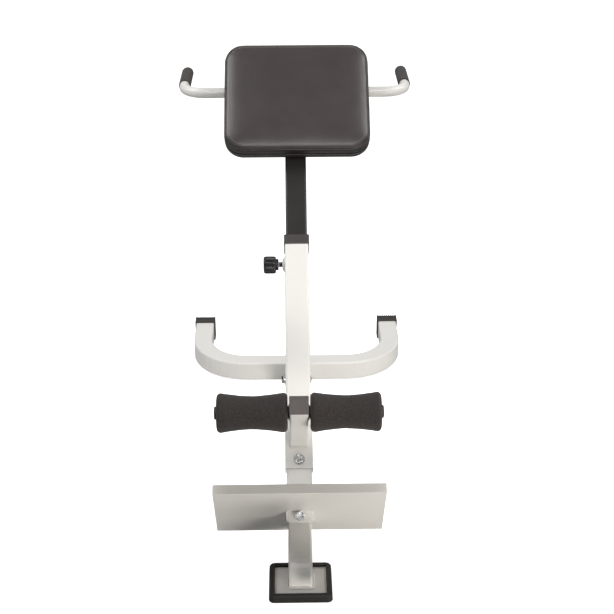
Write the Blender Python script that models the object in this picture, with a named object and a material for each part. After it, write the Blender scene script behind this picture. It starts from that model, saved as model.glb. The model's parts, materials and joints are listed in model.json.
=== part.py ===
"""Roman chair (hyperextension bench): a welded triangular frame with a U-shaped rear
stabiliser, an inclined main beam, a telescoping pad post with handles, foam ankle
rollers and a foot plate.  Metres, +Z up, +Y from the foot end towards the pad.
The origin is the centre of the footprint on the floor."""
import math

import bmesh
import bpy
from mathutils import Matrix, Vector

for o in list(bpy.data.objects):
    bpy.data.objects.remove(o, do_unlink=True)

MM = 0.001
GAP = 0.3                      # clearance kept between touching solids

# ---------------------------------------------------------------- driving sizes, mm
Y_CENTRE = 574.4               # middle of the footprint in the side-view layout
BEAM_A = math.radians(40.9)    # beam inclination
BEAM_W, BEAM_WALL = 50.0, 2.0
BEAM_Y0, BEAM_Z0 = 167.0, 81.4 # lower end of the beam's front face
BEAM_T0, BEAM_T1 = -2.5, 612.5
LEG_W, LEG_WALL = 45.0, 2.0    # bent front leg, plugged into the beam's lower end
LEG_Y, LEG_Z0 = 73.5, 10.3
LEG_R1, LEG_RISE, LEG_R2 = 34.0, math.radians(9.3), 25.0
LEG_INSERT = 108.0
BASE_W, BASE_D, BASE_Z0, BASE_Z1 = 97.0, 86.0, 5.3, 10.0
BOOT_W, BOOT_D, BOOT_H = 119.0, 107.0, 15.0
BOOT_Y = 72.3
UBAR_W, UBAR_WALL, UBAR_Z0 = 45.0, 2.0, 4.0
UBAR_Y, UBAR_X = 897.5, 232.7  # crossbar centre line, arm centre line
UBAR_END, UBAR_R = 1127.0, 115.0
CAP_Y0, CAP_Y1, CAP_H = 1099.0, 1130.0, 52.6
STRUT_W, STRUT_WALL = 50.0, 2.0
STRUT_T = 480.0                # where the strut meets the beam's underside
PIN_Y, PIN_Z = 835.0, 26.0     # clevis bolt
POST_W, POST_WALL = 45.0, 2.0
POST_T0, POST_T1 = 400.0, 1040.0
COLLAR_T0, COLLAR_T1, COLLAR_W = 592.7, 615.7, 53.6
KNOB_T = 557.0
PAD_W, PAD_L, PAD_R = 316.0, 268.0, 42.0
PAD_T0, PAD_OFF, PAD_FACE = 796.9, 2.1, 49.5
PAD_X = 4.0                    # the pad sits slightly to the right on its plate
BAR_R, BAR_WALL, BAR_X, BAR_BEND = 11.5, 1.5, 249.0, 50.0
BAR_T, BAR_OFF = 982.0, -25.0
BAR_REACH, GRIP_0, GRIP_R = 173.0, 57.0, 13.5
ROLL_T, ROLL_OFF = 163.9, 161.0
ROLL_POST, ROLL_POST_END = 35.0, 198.0
ROLL_R, ROLL_WAIST, ROLL_X0, ROLL_X1 = 37.0, 31.0, 21.3, 153.5
AXLE_R, AXLE_WALL, CORE_R = 10.8, 1.5, 12.4
SADDLE_T0, SADDLE_T1, SADDLE_BOLT = 103.5, 190.0, 122.0
PLATE_A = math.radians(56.0)   # foot plate, rising towards the user's heels
PLATE_W, PLATE_UP, PLATE_DOWN, PLATE_T, PLATE_LIP = 328.0, 89.0, 97.6, 2.0, 20.0
PLATE_JOIN, FOOT_BOLT = 17.5, 7.8

COL = {
    "white": (0.80, 0.80, 0.77, 0.25, 0.0),
    "black_paint": (0.025, 0.025, 0.028, 0.35, 0.0),
    "vinyl": (0.055, 0.048, 0.046, 0.45, 0.0),
    "foam": (0.035, 0.028, 0.027, 0.9, 0.0),
    "plastic": (0.05, 0.045, 0.047, 0.5, 0.0),
    "rubber": (0.02, 0.02, 0.02, 0.75, 0.0),
    "zinc": (0.72, 0.73, 0.75, 0.22, 1.0),
    "wood": (0.45, 0.32, 0.18, 0.8, 0.0),
}


def material(kind, name):
    m = bpy.data.materials.new(name + "_mat")
    m.use_nodes = True
    b = m.node_tree.nodes["Principled BSDF"]
    r, g, bb, rough, metal = COL[kind]
    b.inputs["Base Color"].default_value = (r, g, bb, 1)
    b.inputs["Roughness"].default_value = rough
    b.inputs["Metallic"].default_value = metal
    return m


# ---------------------------------------------------------------- frames of reference
def world(y, z):
    """A side-view point in mm, as a world position in metres."""
    return Vector((0, (y - Y_CENTRE) * MM, z * MM))


FLOOR = Matrix.Translation(world(0, 0))
BEAM = Matrix.Translation(world(BEAM_Y0, BEAM_Z0)) @ Matrix.Rotation(BEAM_A, 4, "X")


def beam_point(t, off):
    """Side-view mm of a point t along the beam and off above its front face."""
    return (BEAM_Y0 + t * math.cos(BEAM_A) - off * math.sin(BEAM_A),
            BEAM_Z0 + t * math.sin(BEAM_A) + off * math.cos(BEAM_A))


def add(name, bm, kind, frame, smooth=None):
    """Object from a bmesh in mm, placed in a frame."""
    bmesh.ops.scale(bm, vec=(MM, MM, MM), verts=bm.verts)
    me = bpy.data.meshes.new(name)
    bm.to_mesh(me)
    bm.free()
    if smooth:
        me.shade_smooth()
        me.set_sharp_from_angle(angle=math.radians(smooth))
    o = bpy.data.objects.new(name, me)
    o.data.materials.append(material(kind, name))
    bpy.context.scene.collection.objects.link(o)
    o.matrix_world = frame
    return o


def boolean(o, cutters, op="DIFFERENCE"):
    """Cut o by, or join it with, solids given as (bmesh in mm, frame)."""
    for bm, frame in cutters:
        c = add(o.name + "_tool", bm, "white", frame)
        m = o.modifiers.new("b", "BOOLEAN")
        m.operation, m.solver, m.object = op, "EXACT", c
        bpy.context.view_layer.update()
        dg = bpy.context.evaluated_depsgraph_get()
        me = bpy.data.meshes.new_from_object(o.evaluated_get(dg))
        o.modifiers.clear()
        o.data = me
        bpy.data.objects.remove(c, do_unlink=True)
    return o


# ---------------------------------------------------------------- solids
def box(x0, x1, y0, y1, z0, z1, bevel=0.0, seg=1):
    bm = bmesh.new()
    v = [bm.verts.new((x, y, z)) for z in (z0, z1) for y in (y0, y1) for x in (x0, x1)]
    for f in ((0, 2, 3, 1), (4, 5, 7, 6), (0, 1, 5, 4), (2, 6, 7, 3), (0, 4, 6, 2), (1, 3, 7, 5)):
        bm.faces.new([v[i] for i in f])
    if bevel:
        bmesh.ops.bevel(bm, geom=list(bm.edges), offset=bevel, segments=seg, affect="EDGES", profile=0.5)
    bmesh.ops.recalc_face_normals(bm, faces=bm.faces)
    return bm


def rounded(w, h, r, seg=3):
    """Outline of a rounded rectangle, centred, anticlockwise."""
    pts = []
    for cx, cy, a0 in ((1, 1, 0), (-1, 1, 90), (-1, -1, 180), (1, -1, 270)):
        for i in range(seg + 1):
            a = math.radians(a0 + 90 * i / seg)
            pts.append((cx * (w / 2 - r) + r * math.cos(a), cy * (h / 2 - r) + r * math.sin(a)))
    return pts


def sweep(outline, stations, inner=None):
    """Sweep an outline, and a bore outline, through (origin, u, v) stations; ends closed."""
    bm = bmesh.new()

    def rings(pts):
        return [[bm.verts.new(o + u * p[0] + v * p[1]) for p in pts] for o, u, v in stations]

    out = rings(outline)
    n = len(outline)
    for a, b in zip(out, out[1:]):
        for i in range(n):
            j = (i + 1) % n
            bm.faces.new((a[i], a[j], b[j], b[i]))
    if inner:
        inn = rings(inner)
        for a, b in zip(inn, inn[1:]):
            for i in range(n):
                j = (i + 1) % n
                bm.faces.new((a[j], a[i], b[i], b[j]))
        for a, b, flip in ((out[0], inn[0], False), (out[-1], inn[-1], True)):
            for i in range(n):
                j = (i + 1) % n
                q = (a[j], a[i], b[i], b[j])
                bm.faces.new(tuple(reversed(q)) if flip else q)
    else:
        bm.faces.new(list(reversed(out[0])))
        bm.faces.new(out[-1])
    bmesh.ops.recalc_face_normals(bm, faces=bm.faces)
    return bm


def square_tube(w, wall, stations, r=4.0, seg=2):
    return sweep(rounded(w, w, r, seg), stations, rounded(w - 2 * wall, w - 2 * wall, max(r - wall, 1.0), seg))


def straight(p0, p1, u, v):
    return [(Vector(p0), Vector(u), Vector(v)), (Vector(p1), Vector(u), Vector(v))]


X, Y, Z = Vector((1, 0, 0)), Vector((0, 1, 0)), Vector((0, 0, 1))


def circle(r, n):
    return [(r * math.cos(2 * math.pi * i / n), r * math.sin(2 * math.pi * i / n)) for i in range(n)]


def turned(profile, n, axis="X", centre=(0, 0, 0)):
    """Solid of revolution about an axis through centre.  profile is a list of
    (along, radius) from one end to the other; a radius of 0 closes an end,
    otherwise the profile is a closed loop."""
    bm = bmesh.new()
    e = {"X": (X, Y, Z), "Y": (Y, Z, X), "Z": (Z, X, Y)}[axis]
    c = Vector(centre)
    rings = []
    for s, r in profile:
        if r < 1e-6:
            rings.append([bm.verts.new(c + e[0] * s)])
        else:
            rings.append([bm.verts.new(c + e[0] * s + e[1] * p[0] + e[2] * p[1]) for p in circle(r, n)])
    loop = len(rings[0]) > 1
    pairs = list(zip(rings, rings[1:])) + ([(rings[-1], rings[0])] if loop else [])
    for a, b in pairs:
        for i in range(n):
            j = (i + 1) % n
            if len(a) == 1:
                bm.faces.new((a[0], b[i], b[j]))
            elif len(b) == 1:
                bm.faces.new((a[i], b[0], a[j]))
            else:
                bm.faces.new((a[i], b[i], b[j], a[j]))
    bmesh.ops.recalc_face_normals(bm, faces=bm.faces)
    return bm


def rod(r, s0, s1, axis="X", centre=(0, 0, 0), n=16):
    return turned([(s0, 0), (s0, r), (s1, r), (s1, 0)], n, axis, centre)


def ring(r0, r1, s0, s1, axis, centre, n=16):
    return turned([(s0, r0), (s0, r1), (s1, r1), (s1, r0)], n, axis, centre)


def hexagon(af):
    r = af / math.sqrt(3)
    return [(r * math.cos(math.radians(60 * i)), r * math.sin(math.radians(60 * i))) for i in range(6)]


def frame_axis(axis, centre):
    e = {"X": (Y, Z, X), "Y": (Z, X, Y), "Z": (X, Y, Z)}[axis]
    return Vector(centre), e


def hex_bolt(name, frame, axis, centre, d, head0, length, sign, af, head_h):
    """Hex bolt: its head starts at head0 along axis and stands out in the sign
    direction, and its shank runs the other way."""
    c, e = frame_axis(axis, centre)
    st = []
    for s, k in ((0, 1.0), (head_h * 0.72, 1.0), (head_h, 0.86)):
        st.append((c + e[2] * (head0 + sign * s), e[0] * k, e[1] * k))
    o = add(name, sweep(hexagon(af), st), "zinc", frame)
    s0, s1 = sorted((head0 + sign * head_h * 0.5, head0 - sign * length))
    return boolean(o, [(rod(d / 2, s0, s1, axis, centre), frame)], "UNION")


def hex_nut(name, frame, axis, centre, d, s0, sign, af, h):
    c, e = frame_axis(axis, centre)
    st = [(c + e[2] * (s0 + sign * s), e[0] * k, e[1] * k) for s, k in ((0, 1.0), (h * 0.75, 1.0), (h, 0.9))]
    o = add(name, sweep(hexagon(af), st), "zinc", frame)
    return boolean(o, [(rod(d / 2 + 0.15, *sorted((s0 - sign * 2, s0 + sign * (h + 2))), axis, centre), frame)])


def washer(name, frame, axis, centre, d, s0, sign, ro, h):
    return add(name, ring(d / 2 + 0.25, ro, *sorted((s0, s0 + sign * h)), axis, centre), "zinc", frame)


# ================================================================ main beam and front leg
half = BEAM_W / 2
beam = add("main_beam", square_tube(BEAM_W, BEAM_WALL, straight((0, BEAM_T0, -half), (0, BEAM_T1, -half), X, -Z)),
           "white", BEAM, 35)
boolean(beam, [
    (rod(6.5, -40, -15, "X", (0, KNOB_T, -half)), BEAM),
    (rod(5.3, -70, 20, "Z", (0, SADDLE_BOLT, 0)), BEAM),
    (rod(5.3, -70, 20, "Z", (0, FOOT_BOLT, 0)), BEAM),
])

# leg centre line: up off the base plate, over a tight bend, along a shallow rise,
# and round on to the beam's own centre line
st = []
for i in range(11):
    a = (math.pi / 2 - LEG_RISE) * i / 10
    o = Vector((0, LEG_Y + LEG_R1 - LEG_R1 * math.cos(a), LEG_Z0 + LEG_R1 * math.sin(a)))
    st.append((o, X, Vector((0, -math.cos(a), math.sin(a)))))
turn = BEAM_A - LEG_RISE
cy0, cz0 = beam_point(0, -half)
by, bz = st[-1][0].y, st[-1][0].z
# meeting point of the rise and the beam's centre line
det = math.cos(LEG_RISE) * math.sin(BEAM_A) - math.sin(LEG_RISE) * math.cos(BEAM_A)
s_meet = ((cy0 - by) * math.sin(BEAM_A) - (cz0 - bz) * math.cos(BEAM_A)) / det
meet = Vector((0, by + s_meet * math.cos(LEG_RISE), bz + s_meet * math.sin(LEG_RISE)))
tangent = LEG_R2 * math.tan(turn / 2)
start = meet - Vector((0, math.cos(LEG_RISE), math.sin(LEG_RISE))) * tangent
arc_c = start + Vector((0, -math.sin(LEG_RISE), math.cos(LEG_RISE))) * LEG_R2
for i in range(6):
    a = LEG_RISE + turn * i / 5
    st.append((arc_c + Vector((0, math.sin(a), -math.cos(a))) * LEG_R2, X, Vector((0, -math.sin(a), math.cos(a)))))
ey, ez = beam_point(LEG_INSERT, -half)
st.append((Vector((0, ey, ez)), X, Vector((0, -math.sin(BEAM_A), math.cos(BEAM_A)))))
leg = add("front_leg", square_tube(LEG_W, LEG_WALL, st), "white", FLOOR, 35)
boolean(leg, [(rod(5.3, -70, 20, "Z", (0, FOOT_BOLT, 0)), BEAM)])

# moulded rubber boot with the steel base plate set into its top
boot_st = [(Vector((0, BOOT_Y, z)), X * k, Y * k) for z, k in ((0, 0.985), (1.5, 1.0), (12.5, 0.985), (BOOT_H, 0.955))]
boot = add("front_rubber_boot", sweep(rounded(BOOT_W, BOOT_D, 9, 4), boot_st), "rubber", FLOOR, 35)
boolean(boot, [(box(-BASE_W / 2 - GAP, BASE_W / 2 + GAP, BOOT_Y - BASE_D / 2 - GAP, BOOT_Y + BASE_D / 2 + GAP,
                    BASE_Z0 - GAP, 40), FLOOR)])
add("front_base_plate", box(-BASE_W / 2, BASE_W / 2, BOOT_Y - BASE_D / 2, BOOT_Y + BASE_D / 2, BASE_Z0, BASE_Z1),
    "white", FLOOR)
# fillet weld round the foot of the leg: a square ring on the base plate
wi, wo, wt = rounded(LEG_W + 1.6, LEG_W + 1.6, 4.5, 3), rounded(LEG_W + 9, LEG_W + 9, 7, 3), rounded(LEG_W + 3.6, LEG_W + 3.6, 5, 3)
bm = bmesh.new()
rings = [[bm.verts.new((p[0], LEG_Y + p[1], z)) for p in pts] for pts, z in ((wi, 10.3), (wo, 10.3), (wt, 13.2), (wi, 13.2))]
for q in range(4):
    ra, rb = rings[q], rings[(q + 1) % 4]
    for i in range(len(ra)):
        j = (i + 1) % len(ra)
        bm.faces.new((ra[i], ra[j], rb[j], rb[i]))
bmesh.ops.recalc_face_normals(bm, faces=bm.faces)
add("front_leg_weld", bm, "white", FLOOR, 50)

# ================================================================ rear strut and clevis
sy, sz = beam_point(STRUT_T, -BEAM_W)
sa = math.atan2(sz - PIN_Z, PIN_Y - sy)              # steepness of the strut
STRUT = Matrix.Translation(world(PIN_Y, PIN_Z)) @ Matrix.Rotation(math.pi - sa, 4, "X")
# local: +Y up the strut, origin on the clevis bolt
strut = add("rear_strut", square_tube(STRUT_W, STRUT_WALL, straight((0, -8.0, 0), (0, 520, 0), X, -Z)), "white", STRUT, 35)
boolean(strut, [
    (box(-60, 60, 200, 800, -BEAM_W - 3.6, 400), BEAM),
    (rod(5.3, -60, 60, "X"), STRUT),
])
add("strut_doubler", box(-23.5, 23.5, STRUT_T - 62, STRUT_T + 62, -BEAM_W - 3.3, -BEAM_W - GAP, 0.6), "white", BEAM)

front = UBAR_Y - UBAR_W / 2
pin = (0, PIN_Y, PIN_Z)
clevis = add("clevis", box(-27.9, 27.9, 809, front - GAP, 7.0, 42.0), "white", FLOOR)
boolean(clevis, [
    (box(-25.4, 25.4, 700, front - 3.5, -20, 100), FLOOR),
    (rod(5.3, -60, 60, "X", pin), FLOOR),
])
hex_bolt("clevis_bolt", FLOOR, "X", pin, 9.6, -30.5, 65.0, -1, 16.5, 6.3)
washer("clevis_washer", FLOOR, "X", pin, 10, -28.2, -1, 12.5, 2.0)
hex_nut("clevis_nut", FLOOR, "X", pin, 10, 28.2, 1, 16.5, 5.5)

# ================================================================ U-shaped rear stabiliser
uz = UBAR_Z0 + UBAR_W / 2
ends = []
for s in (-1, 1):
    arc = [(Vector((s * UBAR_X, UBAR_END, uz)), Vector((s, 0, 0)))]
    for i in range(10):
        a = math.radians(90 * i / 9)
        o = Vector((s * (UBAR_X - UBAR_R + UBAR_R * math.cos(a)), UBAR_Y + UBAR_R - UBAR_R * math.sin(a), uz))
        arc.append((o, Vector((s * math.cos(a), -math.sin(a), 0))))
    ends.append(arc)
path = ends[0] + list(reversed(ends[1]))
add("rear_u_bar", square_tube(UBAR_W, UBAR_WALL, [(o, u, Z) for o, u in path], 3.5), "white", FLOOR, 35)

for s, side in ((-1, "left"), (1, "right")):
    cx = s * UBAR_X
    w = UBAR_W / 2 + GAP
    cap = add(f"u_bar_cap_{side}", box(cx - 25.3, cx + 25.3, CAP_Y0, CAP_Y1, 0, CAP_H, 1.8, 2), "rubber", FLOOR)
    tools = [(box(cx - w, cx + w, 1000, UBAR_END + GAP, UBAR_Z0 - GAP, UBAR_Z0 + UBAR_W + GAP), FLOOR)]
    for k in range(8):
        x = cx - 19.25 + k * 5.5
        tools.append((box(x - 1.3, x + 1.3, CAP_Y1 - 15, CAP_Y1 + 5, CAP_H - 2.4, 70), FLOOR))
    boolean(cap, tools)

# ================================================================ foot plate
jy, jz = beam_point(PLATE_JOIN, GAP)
PLATE = Matrix.Translation(world(jy, jz)) @ Matrix.Rotation(math.pi - PLATE_A, 4, "X")
# local: +Y up the plate to the heels, +Z out of the underside
w2 = PLATE_W / 2
fp = add("foot_plate", box(-w2, w2, -PLATE_DOWN, PLATE_UP, -PLATE_LIP, 0, 1.2, 2), "white", PLATE)
boolean(fp, [
    (box(-w2 + PLATE_T, w2 - PLATE_T, -PLATE_DOWN - 20, PLATE_UP - PLATE_T, -60, -PLATE_T), PLATE),
    (box(-25.4, 25.4, -51.4, 0.0, -60, 20), PLATE),       # window for the beam
    (box(-10.5, 10.5, -64.0, -50.0, -60, 20), PLATE),     # clearance for the nut
])
# tab bent down on to the beam's face
boolean(fp, [(box(-25, 25, 0.0, 18.6, GAP, 2.8), BEAM)], "UNION")
boolean(fp, [(rod(5.3, -12, 20, "Z", (0, FOOT_BOLT, 0)), BEAM)])
fpb = (0, FOOT_BOLT, 0)
washer("foot_plate_washer", BEAM, "Z", fpb, 10, 3.1, 1, 8.9, 1.2)
hex_bolt("foot_plate_bolt", BEAM, "Z", fpb, 9.6, 4.6, 67.0, 1, 15.0, 6.0)
washer("foot_plate_washer_back", BEAM, "Z", fpb, 10, -BEAM_W - GAP, -1, 9.0, 1.6)
hex_nut("foot_plate_nut", BEAM, "Z", fpb, 10, -BEAM_W - 2.2, -1, 15.5, 8.0)

# ================================================================ ankle roller post
sad = add("roller_saddle", box(-27.4, 27.4, SADDLE_T0, SADDLE_T1, -30, 2.3, 0.8, 1), "white", BEAM)
boolean(sad, [
    (box(-25.4, 25.4, 50, 250, -60, GAP), BEAM),
    (rod(5.3, -12, 20, "Z", (0, SADDLE_BOLT, 0)), BEAM),
])
rp = ROLL_T
rpost = add("roller_post", square_tube(ROLL_POST, 1.8, straight((0, rp, 2.6), (0, rp, ROLL_POST_END), X, Y), 3.0),
            "white", BEAM, 35)
boolean(rpost, [(rod(AXLE_R + 0.5, -40, 40, "X", (0, rp, ROLL_OFF), 20), BEAM)])
capb = add("roller_post_cap", box(-18, 18, rp - 18, rp + 18, ROLL_POST_END + GAP, ROLL_POST_END + 3.3, 0.9, 1), "plastic", BEAM)
boolean(capb, [(box(-15.1, 15.1, rp - 15.1, rp + 15.1, ROLL_POST_END - 14, ROLL_POST_END + 1.5), BEAM)], "UNION")
sb = (0, SADDLE_BOLT, 0)
washer("saddle_washer_front", BEAM, "Z", sb, 10, 2.6, 1, 11.0, 1.6)
hex_bolt("saddle_bolt", BEAM, "Z", sb, 9.6, 4.5, 67.0, 1, 16.5, 6.0)
washer("saddle_washer_back", BEAM, "Z", sb, 10, -BEAM_W - GAP, -1, 11.0, 1.6)
hex_nut("saddle_nut", BEAM, "Z", sb, 10, -BEAM_W - 2.2, -1, 16.5, 8.0)

axc = (0, rp, ROLL_OFF)
add("roller_axle", ring(AXLE_R - AXLE_WALL, AXLE_R, -ROLL_X1 - 2.5, ROLL_X1 + 2.5, "X", axc, 20), "zinc", BEAM, 35)
for s, side in ((-1, "left"), (1, "right")):
    add(f"roller_washer_{side}", ring(AXLE_R + GAP, 15.5, s * (ROLL_POST / 2 + GAP), s * (ROLL_POST / 2 + 1.8), "X", axc, 18),
        "zinc", BEAM, 40)
    add(f"roller_core_{side}", ring(AXLE_R + GAP, CORE_R, s * (ROLL_POST / 2 + 2.1), s * (ROLL_X1 + 2.3), "X", axc, 20),
        "plastic", BEAM, 40)
    prof = []
    nseg = 8
    for i in range(nseg + 1):
        q = i / nseg
        r = ROLL_WAIST + (ROLL_R - ROLL_WAIST) * abs(2 * q - 1) ** 1.6
        prof.append((ROLL_X0 + 8 + (ROLL_X1 - ROLL_X0 - 16) * q, r))
    end = [(0, 8.0), (0.8, 4.6), (3.4, 1.5)]
    prof = ([(ROLL_X0 + a, ROLL_R - b) for a, b in end] + prof + [(ROLL_X1 - a, ROLL_R - b) for a, b in reversed(end)])
    prof = [(ROLL_X0, CORE_R + GAP)] + prof + [(ROLL_X1, CORE_R + GAP)]
    add(f"foam_roller_{side}", turned([(s * a, r) for a, r in prof], 20, "X", axc), "foam", BEAM, 35)
    e = ROLL_X1 + 2.8
    plug = [(s * (e + 2.4), 0), (s * (e + 2.2), 8.0), (s * (e + 1.5), 11.6), (s * e, 12.6), (s * e, 9.0),
            (s * (e - 16), 8.8), (s * (e - 16), 0)]
    add(f"axle_plug_{side}", turned(plug, 18, "X", axc), "plastic", BEAM, 35)

# ================================================================ collar and clamping knob
cw = COLLAR_W / 2
col = add("beam_collar", box(-cw, cw, COLLAR_T0, COLLAR_T1, -half - cw, -half + cw, 2.6, 2), "plastic", BEAM)
boolean(col, [
    (box(-25.3, 25.3, 500, BEAM_T1 + GAP, -half - 25.3, -half + 25.3), BEAM),
    (box(-22.8, 22.8, 600, 700, -half - 22.8, -half + 22.8), BEAM),
])
kc = (0, KNOB_T, -half)
add("knob_boss", turned([(-half - GAP, 6.4), (-half - GAP, 16.0), (-half - 1.6, 15.6), (-half - 4.2, 11.8),
                         (-half - 5.2, 10.6), (-half - 5.2, 6.4)], 18, "X", kc), "white", BEAM, 40)
tip = -POST_W / 2 - GAP
add("clamp_screw", turned([(tip, 0), (tip, 4.4), (tip - 1.4, 6.0), (-62.0, 6.0), (-62.0, 0)], 16, "X", kc), "zinc", BEAM, 40)
knob_out = []
for i in range(35):
    a = 2 * math.pi * i / 35
    r = 17.3 + 1.9 * math.cos(7 * a)
    knob_out.append((r * math.cos(a), r * math.sin(a)))
kst = [(Vector((x, KNOB_T, -half)), Y * k, Z * k) for x, k in
       ((-43.6, 0.86), (-45.4, 0.97), (-47.5, 1.0), (-65.5, 1.0), (-68.4, 0.95), (-70.0, 0.80))]
knob = add("knob_head", sweep(knob_out, kst), "plastic", BEAM, 30)
boolean(knob, [(rod(11.5, -50.0, -38.2, "X", kc, 18), BEAM)], "UNION")
boolean(knob, [(rod(6.3, -62.3, 0, "X", kc), BEAM)])

# ================================================================ telescoping seat post
post = add("seat_post", square_tube(POST_W, POST_WALL, straight((0, POST_T0, -half), (0, POST_T1, -half), X, -Z), 3.5),
           "black_paint", BEAM, 35)
hy, hz = beam_point(BAR_T, BAR_OFF)
HANDLE = Matrix.Translation(world(hy, hz))       # local: X across, Y forwards, level
boolean(post, [(rod(BAR_R + 0.6, -60, 60, "X", (0, 0, 0), 24), HANDLE)])
pi = POST_W / 2 - POST_WALL - 2 * GAP
glide = add("seat_post_glide", box(-22.7, 22.7, POST_T0 - 5, POST_T0 - GAP, -half - 22.7, -half + 22.7, 1.2), "plastic", BEAM)
boolean(glide, [(box(-pi, pi, POST_T0 - 2, POST_T0 + 16, -half - pi, -half + pi), BEAM)], "UNION")
cap = add("seat_post_cap", box(-22.4, 22.4, POST_T1 + GAP, POST_T1 + 3.3, -half - 22.4, -half + 22.4, 0.9), "plastic", BEAM)
boolean(cap, [(box(-pi, pi, POST_T1 - 14, POST_T1 + 1.5, -half - pi, -half + pi), BEAM)], "UNION")

# ================================================================ thigh pad
pl_off = -2.5 + GAP
plt0, plt1 = 832.0, 1026.0
pplate = add("pad_plate", box(-95, 95, plt0, plt1, pl_off, pl_off + 4.0, 1.0), "black_paint", BEAM)
SCREWS = [(x, t) for x in (-78, 78) for t in (plt0 + 16, plt1 - 16)]
boolean(pplate, [(rod(3.6, -20, 20, "Z", (x, t, 0), 16), BEAM) for x, t in SCREWS])
ptc = PAD_T0 + PAD_L / 2
BOARD_H = 12.0
board = add("pad_board", sweep(rounded(PAD_W - 18, PAD_L - 18, PAD_R - 9, 4),
            [(Vector((PAD_X, ptc, PAD_OFF)), X, Y), (Vector((PAD_X, ptc, PAD_OFF + BOARD_H)), X, Y)]), "wood", BEAM)
boolean(board, [(rod(3.0, -20, 12.0, "Z", (x, t, 0), 16), BEAM) for x, t in SCREWS])
# cushion, hollowed at the back for the board and domed slightly at the front
cst = []
for off, inset in ((PAD_OFF, 2.5), (PAD_OFF + 3, 0.5), (PAD_OFF + 8, 0.0), (PAD_FACE - 9, 0.0), (PAD_FACE - 5, 1.5),
                   (PAD_FACE - 2, 5.0), (PAD_FACE - 0.5, 11.0), (PAD_FACE + 1.2, 30.0)):
    cst.append((off, rounded(PAD_W - 2 * inset, PAD_L - 2 * inset, PAD_R - inset * 0.7, 6)))
bm = bmesh.new()
rings = [[bm.verts.new((PAD_X + p[0], ptc + p[1], off)) for p in pts] for off, pts in cst]
for ra, rb in zip(rings, rings[1:]):
    for i in range(len(ra)):
        j = (i + 1) % len(ra)
        bm.faces.new((ra[i], ra[j], rb[j], rb[i]))
bm.faces.new(list(reversed(rings[0])))
bm.faces.new(rings[-1])
bmesh.ops.recalc_face_normals(bm, faces=bm.faces)
pad = add("thigh_pad", bm, "vinyl", BEAM, 60)
boolean(pad, [(sweep(rounded(PAD_W - 17, PAD_L - 17, PAD_R - 8.5, 4),
              [(Vector((PAD_X, ptc, -30)), X, Y), (Vector((PAD_X, ptc, PAD_OFF + BOARD_H + GAP)), X, Y)]), BEAM)])
for i, (x, t) in enumerate(SCREWS):
    prof = [(pl_off - 3.4, 0), (pl_off - 3.0, 4.5), (pl_off - GAP, 6.2), (pl_off - GAP, 2.6), (11.2, 2.6), (11.6, 0)]
    add(f"pad_screw_{i + 1}", turned(prof, 16, "Z", (x, t, 0)), "zinc", BEAM, 40)

# ================================================================ handlebar
hp = []
for s in (-1, 1):
    arc = [(Vector((s * BAR_X, BAR_REACH - 4, 0)), Vector((s, 0, 0)))]
    for i in range(8):
        a = math.radians(90 * i / 7)
        arc.append((Vector((s * (BAR_X - BAR_BEND + BAR_BEND * math.cos(a)), BAR_BEND - BAR_BEND * math.sin(a), 0)),
                    Vector((s * math.cos(a), -math.sin(a), 0))))
    hp.append(arc)
hpath = hp[0] + list(reversed(hp[1]))
add("handlebar", sweep(circle(BAR_R, 18), [(o, u, Z) for o, u in hpath], circle(BAR_R - BAR_WALL, 18)),
    "white", HANDLE, 35)
for s, side in ((-1, "left"), (1, "right")):
    g0, g1, gr = GRIP_0, BAR_REACH, GRIP_R
    outer_p = [(g0, gr - 0.9), (g0 + 1.2, gr), (g1 - 6, gr), (g1 - 2.6, gr * 0.90), (g1 - 0.6, gr * 0.66), (g1, 0)]
    full = [(BAR_REACH - 3.5, 0), (BAR_REACH - 3.5, BAR_R + GAP), (g0, BAR_R + GAP)] + outer_p
    add(f"hand_grip_{side}", turned(full, 18, "Y", (s * BAR_X, 0, 0)), "foam", HANDLE, 35)
    # weld ring where the tube enters the post
    add(f"handlebar_weld_{side}", turned([(s * (POST_W / 2 + GAP), BAR_R + GAP), (s * (POST_W / 2 + GAP), BAR_R + 4.0),
        (s * (POST_W / 2 + 3.5), BAR_R + 1.6), (s * (POST_W / 2 + 3.5), BAR_R + GAP)], 16, "X", (0, 0, 0)),
        "white", HANDLE, 35)

# ================================================================ joint axes
def pivot(name, frame, loc, children):
    """Empty on a joint's axis, carrying the pieces that move about it."""
    e = bpy.data.objects.new(name, None)
    e.empty_display_size = 0.04
    bpy.context.scene.collection.objects.link(e)
    e.matrix_world = frame @ Matrix.Translation(Vector(loc) * MM)
    bpy.context.view_layer.update()
    for c in children:
        o = bpy.data.objects[c]
        m = o.matrix_world.copy()
        o.parent = e
        o.matrix_parent_inverse = e.matrix_world.inverted()
        o.matrix_world = m


pivot("seat_slide_axis", BEAM, (0, POST_T0, -half),
      ["seat_post", "seat_post_glide", "seat_post_cap", "pad_plate", "pad_board", "thigh_pad",
       "pad_screw_1", "pad_screw_2", "pad_screw_3", "pad_screw_4", "handlebar",
       "hand_grip_left", "hand_grip_right", "handlebar_weld_left", "handlebar_weld_right"])
pivot("knob_axis", BEAM, (-half, KNOB_T, -half), ["clamp_screw", "knob_head"])
for s, side in ((-1, "left"), (1, "right")):
    pivot(f"roller_axis_{side}", BEAM, (s * 80.0, ROLL_T, ROLL_OFF), [f"foam_roller_{side}", f"roller_core_{side}"])
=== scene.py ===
import json
import math
import random

import bmesh
import bpy
from mathutils import Matrix, Vector, noise
from mathutils.bvhtree import BVHTree


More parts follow.
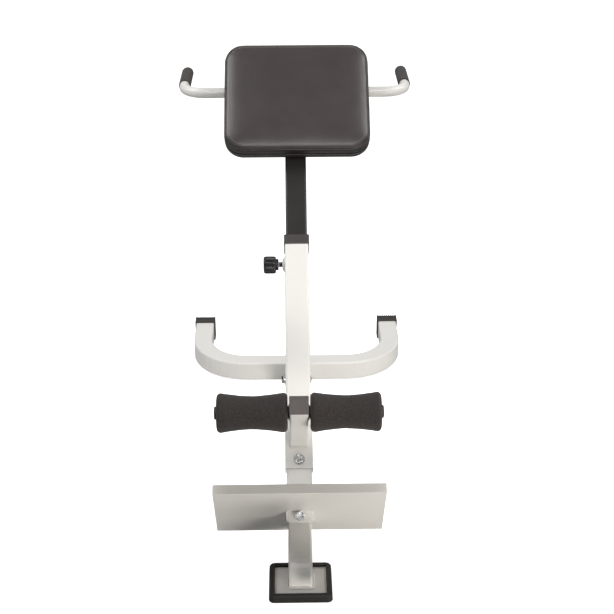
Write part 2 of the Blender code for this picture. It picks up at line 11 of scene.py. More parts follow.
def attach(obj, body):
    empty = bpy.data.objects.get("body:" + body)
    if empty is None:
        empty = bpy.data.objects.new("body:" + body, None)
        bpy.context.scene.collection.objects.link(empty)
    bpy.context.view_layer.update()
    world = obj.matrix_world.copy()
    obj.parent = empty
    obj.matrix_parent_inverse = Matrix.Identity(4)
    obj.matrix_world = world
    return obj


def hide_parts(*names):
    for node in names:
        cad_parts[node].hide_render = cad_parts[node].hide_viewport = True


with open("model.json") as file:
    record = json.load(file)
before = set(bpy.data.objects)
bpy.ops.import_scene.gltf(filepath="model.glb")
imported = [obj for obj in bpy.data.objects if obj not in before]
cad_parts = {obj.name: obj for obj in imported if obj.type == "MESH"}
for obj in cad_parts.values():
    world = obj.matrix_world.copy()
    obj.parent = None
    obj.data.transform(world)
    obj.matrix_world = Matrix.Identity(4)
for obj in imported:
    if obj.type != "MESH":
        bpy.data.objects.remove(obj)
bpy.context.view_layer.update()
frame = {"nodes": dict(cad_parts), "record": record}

random.seed(7)
NODES = frame["nodes"]
MM = 0.001
YC = 574.4
A = math.radians(40.9)
CA, SA = math.cos(A), math.sin(A)
X, Y, Z = Vector((1, 0, 0)), Vector((0, 1, 0)), Vector((0, 0, 1))
D = Vector((0, CA, SA))            # up along the beam
N = Vector((0, -SA, CA))           # out of the beam's front face


def at(x, t, off):
    """World point of a place on the beam: x across, t along, off above its face, in mm."""
    return Vector((x, 167 + t * CA - off * SA - YC, 81.4 + t * SA + off * CA)) * MM


# ------------------------------------------------------------------ camera and studio
cam = bpy.data.cameras.new("camera")
cam.sensor_width = 36.0
cam.lens = 1350 / 614 * 36.0
cam.clip_end = 50
camo = bpy.data.objects.new("camera", cam)
bpy.context.scene.collection.objects.link(camo)
camo.matrix_world = (Matrix.Translation((-0.0132, -(2.0 + YC * MM), 1.570))
                     @ Matrix.Rotation(math.radians(-0.757), 4, "Z")
                     @ Matrix.Rotation(math.radians(90 - 25.5), 4, "X")
                     @ Matrix.Rotation(math.radians(-0.23), 4, "Z"))
bpy.context.scene.camera = camo
bpy.context.scene.view_settings.view_transform = "Standard"
bpy.context.scene.view_settings.look = "None"


def area(name, loc, target, size, power, size_y=None, spread=180):
    l = bpy.data.lights.new(name, "AREA")
    l.shape = "RECTANGLE"
    l.size, l.size_y, l.energy, l.spread = size, size_y or size, power, math.radians(spread)
    o = bpy.data.objects.new(name, l)
    bpy.context.scene.collection.objects.link(o)
    o.location = loc
    o.rotation_euler = (Vector(target) - Vector(loc)).to_track_quat("-Z", "Y").to_euler()
    return o


area("softbox_left_top", (-1.7, 0.35, 2.5), (0, 0.3, 0.45), 1.5, 6.0, 1.7, spread=70)
area("softbox_right_top", (1.75, 0.35, 2.4), (0, 0.3, 0.45), 1.2, 4.4, 1.6, spread=70)
area("softbox_front", (0.1, -2.4, 2.7), (0, 0.25, 0.55), 1.9, 2.6, 1.0, spread=46)
area("softbox_back", (0.0, 2.6, 2.3), (0, 0.3, 0.4), 2.4, 0.6, 1.2, spread=80)
low = area("softbox_low", (1.0, -1.7, 0.20), (0.0, -0.15, 0.20), 0.8, 3.2, 0.3, spread=70)
low.data.color = (1.0, 0.955, 0.89)
low.visible_camera = False

world = bpy.data.worlds.new("studio")
bpy.context.scene.world = world
world.use_nodes = True
wt = world.node_tree                       # a white cyclorama that lights the object only softly
wt.nodes["Background"].inputs["Color"].default_value = (1, 0.99, 0.97, 1)
lp = wt.nodes.new("ShaderNodeLightPath")
mr = wt.nodes.new("ShaderNodeMapRange")
mr.inputs["To Min"].default_value, mr.inputs["To Max"].default_value = 0.385, 1.03
wt.links.new(lp.outputs["Is Camera Ray"], mr.inputs["Value"])
wt.links.new(mr.outputs["Result"], wt.nodes["Background"].inputs["Strength"])

# ------------------------------------------------------------------ materials


class Mat:
    """A Principled material and the few procedural nodes that this object needs."""

    def __init__(self, name, colour, rough, metal=0.0, **sockets):
        self.m = bpy.data.materials.new(name)
        self.m.use_nodes = True
        self.t = self.m.node_tree
        self.b = self.t.nodes["Principled BSDF"]
        self.b.inputs["Base Color"].default_value = (*colour, 1)
        self.b.inputs["Roughness"].default_value = rough
        self.b.inputs["Metallic"].default_value = metal
        for k, v in sockets.items():
            self.b.inputs[k.replace("_", " ")].default_value = v
        self.co = self.new("ShaderNodeTexCoord").outputs["Object"]
        self.normal = None

    def new(self, kind, **kw):
        n = self.t.nodes.new(kind)
        for k, v in kw.items():
            setattr(n, k, v)
        return n

    def link(self, a, b):
        self.t.links.new(a, b)

    def noise(self, scale, detail=3, rough=0.5, stretch=None):
        n = self.new("ShaderNodeTexNoise")
        n.inputs["Scale"].default_value = scale
        n.inputs["Detail"].default_value = detail
        n.inputs["Roughness"].default_value = rough
        co = self.co
        if stretch:
            mp = self.new("ShaderNodeMapping")
            mp.inputs["Scale"].default_value = stretch
            self.link(co, mp.inputs["Vector"])
            co = mp.outputs["Vector"]
        self.link(co, n.inputs["Vector"])
        return n.outputs["Fac"]

    def voronoi(self, scale, feature="F1"):
        n = self.new("ShaderNodeTexVoronoi", feature=feature)
        n.inputs["Scale"].default_value = scale
        self.link(self.co, n.inputs["Vector"])
        return n.outputs["Distance"]

    def span(self, fac, lo, hi, a=0.3, b=0.7):
        n = self.new("ShaderNodeMapRange")
        for k, v in (("From Min", a), ("From Max", b), ("To Min", lo), ("To Max", hi)):
            n.inputs[k].default_value = v
        self.link(fac, n.inputs["Value"])
        return n.outputs["Result"]

    def colours(self, fac, c0, c1, a=0.3, b=0.7):
        n = self.new("ShaderNodeValToRGB")
        n.color_ramp.elements[0].position, n.color_ramp.elements[1].position = a, b
        n.color_ramp.elements[0].color, n.color_ramp.elements[1].color = (*c0, 1), (*c1, 1)
        self.link(fac, n.inputs["Fac"])
        self.link(n.outputs["Color"], self.b.inputs["Base Color"])

    def roughness(self, fac, lo, hi):
        self.link(self.span(fac, lo, hi), self.b.inputs["Roughness"])

    def bump(self, fac, strength, distance):
        n = self.new("ShaderNodeBump")
        n.inputs["Strength"].default_value = strength
        n.inputs["Distance"].default_value = distance
        self.link(fac, n.inputs["Height"])
        if self.normal:
            self.link(self.normal, n.inputs["Normal"])
        self.normal = n.outputs["Normal"]
        self.link(self.normal, self.b.inputs["Normal"])


def powder(name, c0, c1, r0, r1, coat=0.0):
    m = Mat(name, c1, r1, Coat_Weight=coat, Coat_Roughness=0.16)
    m.colours(m.noise(5, 3, 0.5), c0, c1)
    m.roughness(m.noise(24, 2, 0.5), r0, r1)
    m.bump(m.noise(700, 2, 0.5), 0.08, 0.0002)     # orange peel
    m.bump(m.noise(3200, 2, 0.5), 0.06, 0.0001)
    return m.m


WHITE = powder("white_powder_coat", (0.80, 0.787, 0.757), (0.82, 0.807, 0.778), 0.30, 0.35, 0.2)
BLACK = powder("black_powder_coat", (0.012, 0.0100, 0.0095), (0.016, 0.0135, 0.0127), 0.38, 0.46)

v = Mat("pad_vinyl", (0.04, 0.035, 0.034), 0.34, Specular_IOR_Level=0.6)
v.colours(v.noise(14, 5, 0.6), (0.041, 0.033, 0.032), (0.050, 0.041, 0.040))
v.roughness(v.noise(45, 4, 0.6), 0.30, 0.38)
v.bump(v.noise(14, 2, 0.5), 0.18, 0.002)            # slack in the cover
v.bump(v.voronoi(900), 0.30, 0.00022)               # pebble grain
v.bump(v.noise(2200, 3, 0.6), 0.15, 0.0001)
VINYL = v.m

# a darker copy of the pad vinyl: painted shade for the side band and the wrap behind the board
v = Mat("pad_vinyl_painted_shade", (0.022, 0.019, 0.018), 0.42, Specular_IOR_Level=0.45)
v.colours(v.noise(14, 5, 0.6), (0.011, 0.009, 0.0085), (0.016, 0.0135, 0.013))
v.roughness(v.noise(45, 4, 0.6), 0.38, 0.48)
v.bump(v.voronoi(900), 0.30, 0.00022)
VINYL_PAINTED_SHADE = v.m

v = Mat("seam_thread", (0.03, 0.027, 0.026), 0.55)
v.bump(v.noise(1800, 2, 0.5, (1, 3, 3)), 0.4, 0.0002)
v.colours(v.noise(500), (0.12, 0.108, 0.10), (0.20, 0.185, 0.175))
THREAD = v.m

f = Mat("black_foam", (0.035, 0.03, 0.028), 0.93, Specular_IOR_Level=0.25, Sheen_Weight=0.12, Sheen_Roughness=0.6)
f.colours(f.noise(420, 6, 0.85), (0.013, 0.0105, 0.010), (0.056, 0.047, 0.043), 0.36, 0.66)
f.bump(f.voronoi(850), 0.55, 0.0005)                # open cells
f.bump(f.noise(2400, 3, 0.6), 0.35, 0.0002)
f.bump(f.noise(60, 3, 0.5), 0.25, 0.001)
FOAM = f.m

p = Mat("moulded_plastic", (0.05, 0.047, 0.047), 0.45)
p.colours(p.noise(35, 3, 0.6), (0.044, 0.040, 0.040), (0.056, 0.051, 0.051))
p.roughness(p.noise(90, 4, 0.6), 0.36, 0.5)
p.bump(p.noise(1500, 2, 0.5), 0.18, 0.00015)        # spark-eroded texture
PLASTIC = p.m

p = Mat("knob_plastic", (0.02, 0.02, 0.022), 0.3)
p.colours(p.noise(50, 3, 0.6), (0.008, 0.008, 0.009), (0.014, 0.014, 0.015))
p.roughness(p.noise(120, 4, 0.6), 0.22, 0.34)
p.bump(p.noise(1100, 2, 0.5), 0.12, 0.0001)
KNOB = p.m

r = Mat("cap_rubber", (0.04, 0.037, 0.035), 0.6, Specular_IOR_Level=0.4)
r.colours(r.noise(60, 4, 0.6), (0.034, 0.030, 0.028), (0.048, 0.043, 0.040))
r.roughness(r.noise(90, 4, 0.6), 0.52, 0.66)
r.bump(r.noise(1100, 3, 0.6), 0.25, 0.0002)
CAPRUB = r.m

r = Mat("boot_rubber", (0.018, 0.017, 0.016), 0.6, Specular_IOR_Level=0.4)
r.colours(r.noise(30, 4, 0.6), (0.014, 0.013, 0.012), (0.022, 0.020, 0.019))
r.roughness(r.noise(70, 4, 0.6), 0.5, 0.68)
r.bump(r.noise(900, 3, 0.6), 0.25, 0.0002)
RUBBER = r.m

z = Mat("bright_zinc_painted_reflection", (0.60, 0.61, 0.63), 0.16, 1.0)
# the zinc colour swings between dark and bright patches: painted reflections of surroundings
z.colours(z.noise(260, 3, 0.6), (0.20, 0.21, 0.23), (0.80, 0.80, 0.79), 0.4, 0.6)
z.roughness(z.noise(400, 4, 0.6), 0.10, 0.22)
z.bump(z.noise(1400, 2, 0.5), 0.15, 0.0001)
ZINC_PAINTED_REFLECTION = z.m

w = Mat("plywood", (0.45, 0.32, 0.19), 0.75)
w.colours(w.noise(30, 6, 0.65, (12, 1, 1)), (0.33, 0.22, 0.12), (0.56, 0.42, 0.26))
w.bump(w.noise(220, 4, 0.7, (10, 1, 1)), 0.3, 0.0004)
PLY = w.m

FINISH = {"black_powder_coat": BLACK, "black_vinyl": VINYL, "black_foam": FOAM, "black_plastic": PLASTIC,
          "black_rubber": RUBBER, "zinc_plated_steel": ZINC_PAINTED_REFLECTION, "plywood": PLY, "white_powder_coat": WHITE}
for sp in frame["record"]["subparts"]:
    o = NODES.get(sp["node"])
    if o:
        for s in o.material_slots:
            s.material = FINISH[sp["material_slot"]]

for n in ("u_bar_cap_left", "u_bar_cap_right"):
    for s in NODES[n].material_slots:
        s.material = CAPRUB
p = Mat("post_cap_plastic", (0.10, 0.09, 0.088), 0.42)
p.colours(p.noise(35, 3, 0.6), (0.090, 0.078, 0.076), (0.112, 0.098, 0.096))
p.bump(p.noise(1500, 2, 0.5), 0.18, 0.00015)
NODES["roller_post_cap"].material_slots[0].material = p.m

# ------------------------------------------------------------------ mesh helpers


def piece(name, bm, mat, body, node=None, smooth=40):
    me = bpy.data.meshes.new(name)
    bmesh.ops.recalc_face_normals(bm, faces=bm.faces)
    bm.to_mesh(me)
    bm.free()
    me.shade_smooth()
    me.set_sharp_from_angle(angle=math.radians(smooth))
    o = bpy.data.objects.new(name, me)
    me.materials.append(mat)
    bpy.context.scene.collection.objects.link(o)
    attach(o, body)
    if node:
        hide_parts(*([node] if isinstance(node, str) else node))
    return o


def loft(bm, rings, closed=False, cap=True):
    """Quads between rings of points, given in metres."""
    vs = [[bm.verts.new(p) for p in r] for r in rings]
    pairs = list(zip(vs, vs[1:])) + ([(vs[-1], vs[0])] if closed else [])
    for a, b in pairs:
        n = max(len(a), len(b))
        for i in range(n):
            j = (i + 1) % n
            if len(a) == 1:
                bm.faces.new((a[0], b[i], b[j]))
            elif len(b) == 1:
                bm.faces.new((a[i], b[0], a[j]))
            else:
                bm.faces.new((a[i], b[i], b[j], a[j]))
    if cap and not closed:
        for r in (vs[0], vs[-1]):
            if len(r) > 2:
                bm.faces.new(r)
    return vs


def turn(profile, n, centre, axis, u, w, wobble=None):
    """Solid of revolution.  profile is (along, radius) in mm; centre in metres."""
    bm = bmesh.new()
    rings = []
    for s, r in profile:
        if r < 1e-6:
            rings.append([centre + axis * s * MM])
            continue
        ring = []
        for i in range(n):
            a = 2 * math.pi * i / n
            rr = r + (wobble(s, a) if wobble else 0)
            ring.append(centre + (axis * s + u * rr * math.cos(a) + w * rr * math.sin(a)) * MM)
        rings.append(ring)
    loft(bm, rings, closed=profile[0][1] > 1e-6)
    return bm


def rrect(w, h, r, seg, straight=1):
    pts = []
    for cx, cy, a0 in ((1, 1, 0), (-1, 1, 90), (-1, -1, 180), (1, -1, 270)):
        for i in range(seg + 1):
            a = math.radians(a0 + 90 * i / seg)
            pts.append((cx * (w / 2 - r) + r * math.cos(a), cy * (h / 2 - r) + r * math.sin(a)))
    if straight > 1:                 # each straight side in that many lengths
        out = []
        for i, p in enumerate(pts):
            q = pts[(i + 1) % len(pts)]
            k = straight if i % (seg + 1) == seg else 1
            out += [(p[0] + (q[0] - p[0]) * j / k, p[1] + (q[1] - p[1]) * j / k) for j in range(k)]
        pts = out
    return pts


def tube(bm, path, radius, n=10, closed=False, ripple=0.0, lump=0.0):
    """A round bead along a path of points in metres; ripple gives weld ridges."""
    m = len(path)
    rings = []
    up = None
    for i, p in enumerate(path):
        a = path[(i - 1) % m] if closed or i else path[0]
        b = path[(i + 1) % m] if closed or i < m - 1 else path[-1]
        d = (b - a).normalized()
        if up is None:
            up = d.orthogonal().normalized()
        up = (up - d * up.dot(d)).normalized()
        side = d.cross(up)
        r = radius * (1 + ripple * math.sin(i * 2.1) + lump * noise.noise(p * 900))
        rings.append([p + (up * math.cos(2 * math.pi * k / n) + side * math.sin(2 * math.pi * k / n)) * r * MM for k in range(n)])
    loft(bm, rings, closed=closed)


def dense(pts, step):
    """Points every step mm along a closed loop of points in metres."""
    out = []
    for i, p in enumerate(pts):
        q = pts[(i + 1) % len(pts)]
        k = max(1, round((q - p).length / (step * MM)))
        out += [p.lerp(q, j / k) for j in range(k)]
    return out


# ------------------------------------------------------------------ thigh pad
PAD_T, PAD_W, PAD_L, PAD_R = 796.9 + 134.0, 316.0, 268.0, 42.0
PAD_X = 4.0


def pad_at(x, s, off):
    return at(PAD_X + x, PAD_T + s, off)


def pad_loop(inset, off, seg=10, straight=36, r=None):
    return [pad_at(px, py, off) for px, py in
            rrect(PAD_W - 2 * inset, PAD_L - 2 * inset, max((PAD_R if r is None else r) - inset * 0.8, 6), seg, straight)]


SEAM_OFF, BAND_OFF = 43.0, 15.5      # front seam, and the seam round the board's edge
bm = bmesh.new()
prof = [(100, 44.0), (40, 44.0), (12, 44.0), (5.5, 43.9), (2.6, SEAM_OFF), (1.6, 40.5), (1.5, 30.0), (1.7, 18.0), (2.7, BAND_OFF), (12, 15.0), (100, 15.0)]
loft(bm, [pad_loop(i, o) for i, o in prof])
bmesh.ops.recalc_face_normals(bm, faces=bm.faces)
me = bpy.data.meshes.new("cushion_core")
bm.to_mesh(me)
bm.free()
cushion = bpy.data.objects.new("pad_cover", me)
bpy.context.scene.collection.objects.link(cushion)


def baked(o):
    dg = bpy.context.evaluated_depsgraph_get()
    new = bpy.data.meshes.new_from_object(o.evaluated_get(dg))
    o.modifiers.clear()
    o.data = new


m = cushion.modifiers.new("remesh", "REMESH")
m.mode, m.voxel_size = "VOXEL", 0.0046
bpy.context.view_layer.update()
baked(cushion)


def local(p):
    """Pad coordinates in mm of a world point in metres: across, along, off."""
    q = p / MM - at(0, 0, 0) / MM
    return q.x - PAD_X, q.dot(D) - PAD_T, q.dot(N)


def edge_inset(x, s):
    """Distance in mm inside the pad's rounded outline."""
    qx, qy = abs(x) - (PAD_W / 2 - PAD_R), abs(s) - (PAD_L / 2 - PAD_R)
    return PAD_R - (math.hypot(max(qx, 0), max(qy, 0)) + min(max(qx, qy), 0))


rest = [vt.co.copy() for vt in cushion.data.vertices]
grp = cushion.vertex_groups.new(name="pin")
for i, p in enumerate(rest):
    x, s, off = local(p)
    ins = edge_inset(x, s)
    if off < BAND_OFF + 3.2 or (ins < 7.5 and abs(off - SEAM_OFF) < 2.4):
        grp.add([i], 1.0, "REPLACE")
c = cushion.modifiers.new("cloth", "CLOTH")
st = c.settings
st.quality = 6
st.mass = 0.25
st.tension_stiffness = st.compression_stiffness = 22
st.shear_stiffness = 10
st.bending_stiffness = 1.2
st.use_pressure = True
st.uniform_pressure_force = 4.0
st.effector_weights.gravity = 0.0
st.vertex_group_mass = "pin"
c.collision_settings.use_collision = False
sc = bpy.context.scene
for fr in range(1, 21):
    sc.frame_set(fr)
baked(cushion)
sc.frame_set(1)
CAP = 7.5
for i, vt in enumerate(cushion.data.vertices):
    x, s, off = local(rest[i])
    ins = edge_inset(x, s)
    d = (vt.co - rest[i]) / MM
    if d.length > CAP:
        d *= CAP / d.length
    if off > 40 and ins > 5:                     # crown of the front panel
        k = 1 - math.exp(-(ins - 5) / 19)
        crown = 6.6 * k + 1.8 * max(0, 1 - (x / 155) ** 2) * max(0, 1 - (s / 131) ** 2)
        d = d * 0.35 + N * crown
        d += N * 0.35 * noise.noise(rest[i] * 28)
    elif off > BAND_OFF + 3 and ins < 9:          # side band, bulging between its seams
        h = (off - BAND_OFF) / (SEAM_OFF - BAND_OFF)
        out = (rest[i] - pad_at(0, 0, off)).normalized()
        d = d * 0.3 + out * 1.6 * math.sin(math.pi * min(max(h, 0), 1)) * (1 + 0.35 * noise.noise(rest[i] * 40))
    vt.co = rest[i] + d * MM
m = cushion.modifiers.new("smooth", "CORRECTIVE_SMOOTH")
m.iterations, m.use_only_smooth = 4, True
m = cushion.modifiers.new("subdivide", "SUBSURF")
m.levels = m.render_levels = 1
baked(cushion)
# the seams pull the cover in
for vt in cushion.data.vertices:
    x, s, off = local(vt.co)
    ins = edge_inset(x, s)
    if off > 36 and ins < 14:
        q = math.hypot((ins - 3.0) / 2.0, (off - SEAM_OFF - 0.8) / 2.4)
        vt.co -= (N * 0.9 + (vt.co - pad_at(0, 0, off)).normalized() * 0.7) * math.exp(-q * q) * MM
me = cushion.data
me.materials.clear()
me.materials.append(VINYL)
me.materials.append(VINYL_PAINTED_SHADE)                       # the band round the side gets the darker copy of the vinyl: painted shade
for f in me.polygons:
    f.material_index = 1 if local(f.center)[2] < SEAM_OFF - 0.5 else 0
me.shade_smooth()
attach(cushion, "seat_carriage")
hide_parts("thigh_pad")
bvh = BVHTree.FromObject(cushion, bpy.context.evaluated_depsgraph_get())


def on_cover(p, lift):
    """p moved to lift mm above the cover's surface."""
    loc, nor, _, _ = bvh.find_nearest(p)
    return loc + nor * lift * MM


# welt along the front seam, lock stitches beside it, and a second welt at the board's edge
seam = dense([pad_at(px, py, SEAM_OFF + 0.6) for px, py in rrect(PAD_W - 3.6, PAD_L - 3.6, PAD_R - 1.6, 16)], 3.0)
bm = bmesh.new()
tube(bm, [on_cover(q, 0.2) for q in seam], 1.0, 8, closed=True, lump=0.12)
piece("pad_front_welt", bm, VINYL, "seat_carriage", smooth=70)
bm = bmesh.new()
for ins, off, step in ((9.5, 52.0, 4.6), (2.0, SEAM_OFF - 5.0, 4.6)):
    line = dense([pad_at(px, py, off) for px, py in rrect(PAD_W - 2 * ins, PAD_L - 2 * ins, PAD_R - ins * 0.8, 16)], step)
    for i, q in enumerate(line):
        q2 = line[(i + 1) % len(line)]
        a, b = q.lerp(q2, 0.16), q.lerp(q2, 0.84)
        pts = [on_cover(a, -0.25), on_cover(a.lerp(b, 0.2), 0.18), on_cover(a.lerp(b, 0.8), 0.18), on_cover(b, -0.25)]
        tube(bm, pts, 0.58, 5)
piece("pad_stitching", bm, THREAD, "seat_carriage", smooth=70)

# vinyl wrapped round the board and stapled behind it
bm = bmesh.new()
wrap = [(1.9, 17.0), (1.4, 12.0), (1.5, 6.0), (2.6, 3.0), (5.0, 1.35), (12, 1.1), (30, 1.0), (34, 1.15), (34, 1.75),
        (12, 1.8), (8.2, 1.9), (8.2, 8.0), (8.4, 14.0), (8.4, 17.0)]
loft(bm, [pad_loop(i, o) for i, o in wrap], closed=True)
for vt in bm.verts:
    x, s, off = local(vt.co)
    if edge_inset(x, s) > 10 and off < 1.3:
        vt.co -= N * 0.25 * MM * (0.5 + 0.5 * noise.noise(vt.co * 130))
# the wrap gets the darker copy of the vinyl: painted shade
piece("pad_wrap", bm, VINYL_PAINTED_SHADE, "seat_carriage", smooth=50)
bm = bmesh.new()
tube(bm, dense([pad_at(px, py, 16.4) for px, py in rrect(PAD_W - 3.6, PAD_L - 3.6, PAD_R - 1.6, 16)], 3.0), 1.15, 8, closed=True, lump=0.1)
piece("pad_back_welt", bm, VINYL, "seat_carriage", smooth=70)
bm = bmesh.new()
for i, q in enumerate(dense([pad_at(px, py, 0.6) for px, py in rrect(PAD_W - 44, PAD_L - 44, 24, 6)], 24)):
    side = (q - pad_at(0, 0, 0.6))
    side = X if abs(side.dot(D)) > abs(side.dot(X)) * PAD_L / PAD_W else D
    tube(bm, [q - side * 4.5 * MM + N * 0.5 * MM, q - side * 4.5 * MM, q + side * 4.5 * MM, q + side * 4.5 * MM + N * 0.5 * MM], 0.35, 5)
piece("pad_staples", bm, ZINC_PAINTED_REFLECTION, "seat_carriage", smooth=70)

# ------------------------------------------------------------------ foam rollers and grips
R_T, R_OFF = 163.9, 161.0
rc = at(0, R_T, R_OFF)
for s, side in ((-1, "left"), (1, "right")):
    lo, hi, core = 21.3, 153.5, 12.75
    prof = [(lo, core), (lo, core + 2), (lo - 0.1, 22), (lo, 29.0)]
    prof += [(lo + 8 - 8 * math.cos(math.radians(a)), 29.0 + 8 * math.sin(math.radians(a))) for a in range(15, 91, 15)]
    k = 44
    for i in range(1, k):
        q = i / k
        prof.append((lo + 8 + (hi - lo - 16) * q, 31.0 + 6.0 * abs(2 * q - 1) ** 1.55))
    prof += [(hi - 8 + 8 * math.cos(math.radians(a)), 29.0 + 8 * math.sin(math.radians(a))) for a in range(90, 14, -15)]
    prof += [(hi, 29.0), (hi + 0.1, 22), (hi, core + 2), (hi, core)]
    sd = s * 37.0

    def foamy(a_mm, ang, sd=sd):
        p = Vector((a_mm * 0.05, math.cos(ang) * 2.2, math.sin(ang) * 2.2 + sd))
        return 0.45 * noise.noise(p) + 0.22 * noise.noise(p * 5)

    bm = turn([(s * a, r) for a, r in prof], 96, rc, X, D, N, foamy)
    o = piece(f"roller_foam_{side}", bm, FOAM, f"{side}_roller", f"foam_roller_{side}", 60)

hb = at(0, 982, -25)
for s, side in ((-1, "left"), (1, "right")):
    gc = hb + X * s * 249 * MM
    prof = [(57.0, 11.8), (57.0, 12.6), (57.4, 13.2), (58.4, 13.5)]
    prof += [(58.4 + 107 * i / 30, 13.5) for i in range(1, 31)]
    prof += [(165.4 + 7.6 * math.sin(math.radians(a)), 13.5 * math.cos(math.radians(a)) ** 0.62) for a in (15, 30, 45, 60, 72, 82)]
    prof += [(173.0, 0.0)]
    prof = [(169.0, 0.0), (169.0, 11.8)] + prof
    bm = turn(prof, 56, gc, Y, Z, X, lambda a_mm, ang, sd=s: 0.16 * noise.noise(Vector((a_mm * 0.09, math.cos(ang) * 2, math.sin(ang) * 2 + sd * 9))))
    o = piece(f"grip_foam_{side}", bm, FOAM, "seat_carriage", f"hand_grip_{side}", 60)

# ------------------------------------------------------------------ smooth bent handlebar
path = []
for s in (-1, 1):
    arc = [(Vector((s * 249, 168.5, 0)), Vector((s, 0, 0)))]
    arc += [(Vector((s * 249, 50 + (168.5 - 50) * (1 - i / 6), 0)), Vector((s, 0, 0))) for i in range(1, 6)]
    for i in range(25):
        a = math.radians(90 * i / 24)
        arc.append((Vector((s * (199 + 50 * math.cos(a)), 50 - 50 * math.sin(a), 0)), Vector((s * math.cos(a), -math.sin(a), 0))))
    path.append(arc)
path = path[0] + list(reversed(path[1]))
bm = bmesh.new()
rings_o = [[hb + (c + u * 11.5 * math.cos(2 * math.pi * k / 40) + Z * 11.5 * math.sin(2 * math.pi * k / 40)) * MM for k in range(40)] for c, u in path]
rings_i = [[hb + (c + u * 10.0 * math.cos(2 * math.pi * k / 40) + Z * 10.0 * math.sin(2 * math.pi * k / 40)) * MM for k in range(40)] for c, u in path]
loft(bm, rings_o + list(reversed(rings_i)), closed=True)
piece("handlebar_tube", bm, WHITE, "seat_carriage", "handlebar", 40)

# ------------------------------------------------------------------ clamping knob
kc = at(0, 557, -25)


def star(r, depth, x):
    pts = []
    for i in range(168):
        a = 2 * math.pi * i / 168
        c = math.cos(7 * a)
        rr = r - depth * (0.5 - 0.5 * math.copysign(abs(c) ** 0.7, c))
        pts.append(kc + (X * x + D * rr * math.cos(a) + N * rr * math.sin(a)) * MM)
    return pts


bm = bmesh.new()
loft(bm, [star(11.6, 0.0, -38.3), star(12.0, 0.0, -39.0), star(12.0, 0.0, -43.4), star(15.4, 1.0, -43.7), star(17.6, 2.6, -44.6), star(18.8, 3.6, -46.6),
          star(19.1, 3.9, -49.5), star(19.1, 3.9, -63.5), star(18.8, 3.7, -66.4), star(17.6, 3.1, -68.6), star(15.2, 2.0, -69.8),
          star(11.2, 0.0, -70.0), star(10.4, 0.0, -69.2), star(9.6, 0.0, -69.4), star(2.0, 0.0, -69.8)])
piece("knob_grip", bm, KNOB, "clamp_knob", "knob_head", 50)
bm = bmesh.new()
prof = [(-22.8, 0), (-22.8, 4.4), (-24.2, 5.8)]
s = -24.2
while s > -37.0:
    prof += [(s - 0.45, 5.0), (s - 0.9, 5.9)]
    s -= 0.9
prof += [(-38.0, 5.9), (-38.0, 0)]
piece("knob_thread", turn(prof, 32, kc, X, D, N), ZINC_PAINTED_REFLECTION, "clamp_knob", "clamp_screw", 30)

# ------------------------------------------------------------------ bolt heads


def hex_head(bm, base, out, u, w, af, h):
    """Chamfered hexagon head with a washer face and a shallow dish, h tall above base."""
    n = 72

    def hexr(a):
        a = (a + math.pi / 6) % (math.pi / 3) - math.pi / 6
        return af / 2 / math.cos(a)

    def ring(fn, zfn):
        return [base + (u * fn(a) * math.cos(a) + w * fn(a) * math.sin(a) + out * zfn(a)) * MM
                for a in (2 * math.pi * i / n for i in range(n))]

    r0 = af / 2 * 0.96
    top = lambda a: h - (hexr(a) - r0) * math.tan(math.radians(28))
    loft(bm, [ring(lambda a: af / 2 * 0.97, lambda a: 0.0), ring(lambda a: af / 2 * 0.97, lambda a: 0.35), ring(lambda a: hexr(a) - 0.15, lambda a: 0.5),
              ring(hexr, lambda a: 0.8), ring(hexr, lambda a: top(a) - 0.25), ring(lambda a: hexr(a) - 0.25, top), ring(lambda a: r0, lambda a: h),
              ring(lambda a: r0 * 0.86, lambda a: h), ring(lambda a: r0 * 0.78, lambda a: h - 0.5), ring(lambda a: 0.8, lambda a: h - 0.75)])


def bolt(name, node, base, out, u, w, af, h, shank_len):
    bm = bmesh.new()
    hex_head(bm, base, out, u, w, af, h)
    # plain shank with a chamfered end
    prof = [(-0.02, 0), (-0.02, 4.8), (-(shank_len - 1.0), 4.8), (-shank_len, 4.0), (-shank_len, 0)]
    n = 24
    rings = []
    for s, r in prof:
        rings.append([base + out * s * MM] if r == 0 else
                     [base + (out * s + u * r * math.cos(2 * math.pi * i / n) + w * r * math.sin(2 * math.pi * i / n)) * MM for i in range(n)])
    loft(bm, rings)
    return piece(name, bm, ZINC_PAINTED_REFLECTION, "frame", node, 28)


bolt("saddle_bolt_hex", "saddle_bolt", at(0, 122, 4.5), N, X, D, 16.5, 6.2, 67)
bolt("foot_plate_bolt_hex", "foot_plate_bolt", at(0, 7.8, 4.6), N, X, D, 15.0, 6.0, 67)
pin = Vector((0, 835 - YC, 26.0)) * MM
bolt("clevis_bolt_hex", "clevis_bolt", pin - X * 30.5 * MM, -X, Y, Z, 16.5, 6.3, 65)

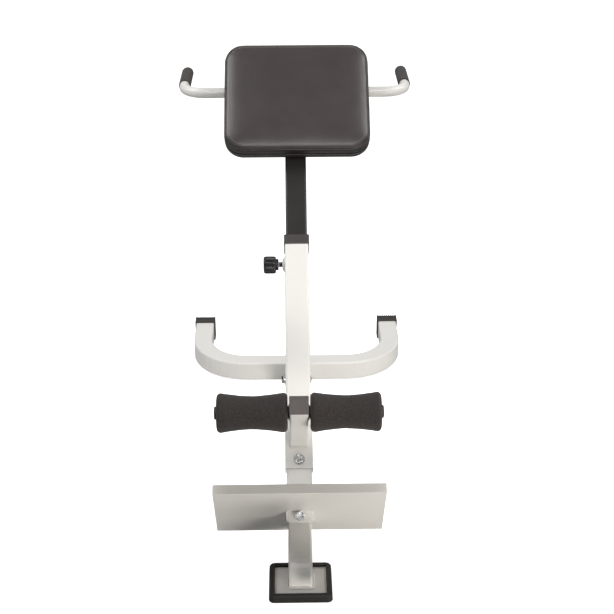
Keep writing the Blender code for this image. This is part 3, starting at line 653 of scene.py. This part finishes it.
# ------------------------------------------------------------------ weld beads
lb = [Vector((px, 73.5 - YC + py, 11.6)) * MM for px, py in rrect(49.2, 49.2, 6, 5)]
bm = bmesh.new()
tube(bm, dense(lb, 1.3), 2.0, 8, closed=True, ripple=0.09, lump=0.2)
for vt in bm.verts:
    vt.co.z = max(vt.co.z, 10.05 * MM)
piece("leg_weld_bead", bm, WHITE, "frame", "front_leg_weld", 70)
bm = bmesh.new()
for px0, loop in ((0, [at(px, R_T + py, 3.2) for px, py in rrect(37.2, 37.2, 4, 4)]),
                  (1, [at(px, 480 + py, -53.2) for px, py in rrect(40, 110, 4, 3)])):
    tube(bm, dense(loop, 1.3), 1.5, 8, closed=True, ripple=0.1, lump=0.2)
piece("frame_weld_beads", bm, WHITE, "frame", None, 70)

# ------------------------------------------------------------------ floor
me = bpy.data.meshes.new("floor")
me.from_pydata([(-15, -8, -0.0005), (15, -8, -0.0005), (15, 22, -0.0005), (-15, 22, -0.0005)], [], [(0, 1, 2, 3)])
floor = bpy.data.objects.new("floor", me)
fm = Mat("studio_floor", (0.93, 0.93, 0.93), 0.8)
lp = fm.new("ShaderNodeLightPath")                  # white to look at, a softer bounce on the object
mx = fm.new("ShaderNodeMapRange")
mx.inputs["To Min"].default_value, mx.inputs["To Max"].default_value = 0.48, 0.96
fm.link(lp.outputs["Is Camera Ray"], mx.inputs["Value"])
fm.link(mx.outputs["Result"], fm.b.inputs["Base Color"])
glow = fm.new("ShaderNodeMapRange")
glow.inputs["To Min"].default_value, glow.inputs["To Max"].default_value = 0.0, 0.86
fm.link(lp.outputs["Is Camera Ray"], glow.inputs["Value"])
fm.link(glow.outputs["Result"], fm.b.inputs["Emission Strength"])
fm.b.inputs["Emission Color"].default_value = (1, 1, 1, 1)
me.materials.append(fm.m)
bpy.context.scene.collection.objects.link(floor)

# studio flags: three cards that shade the foot end, and aren't seen
me = bpy.data.meshes.new("flag")
me.from_pydata([(-0.22, -0.80, 0.33), (0.22, -0.80, 0.33), (0.22, -0.57, 0.33), (-0.22, -0.57, 0.33),
                (0.045, -0.60, 0.035), (0.115, -0.60, 0.035), (0.115, -0.60, 0.14), (0.045, -0.60, 0.14),
                (-0.17, -0.56, 0.20), (0.17, -0.56, 0.20), (0.17, -0.425, 0.20), (-0.17, -0.425, 0.20)],
               [], [(0, 1, 2, 3), (4, 5, 6, 7), (8, 9, 10, 11)])
flag = bpy.data.objects.new("flag", me)
me.materials.append(Mat("flag_cloth", (0.25, 0.25, 0.25), 0.9).m)
bpy.context.scene.collection.objects.link(flag)
flag.visible_camera = flag.visible_glossy = False
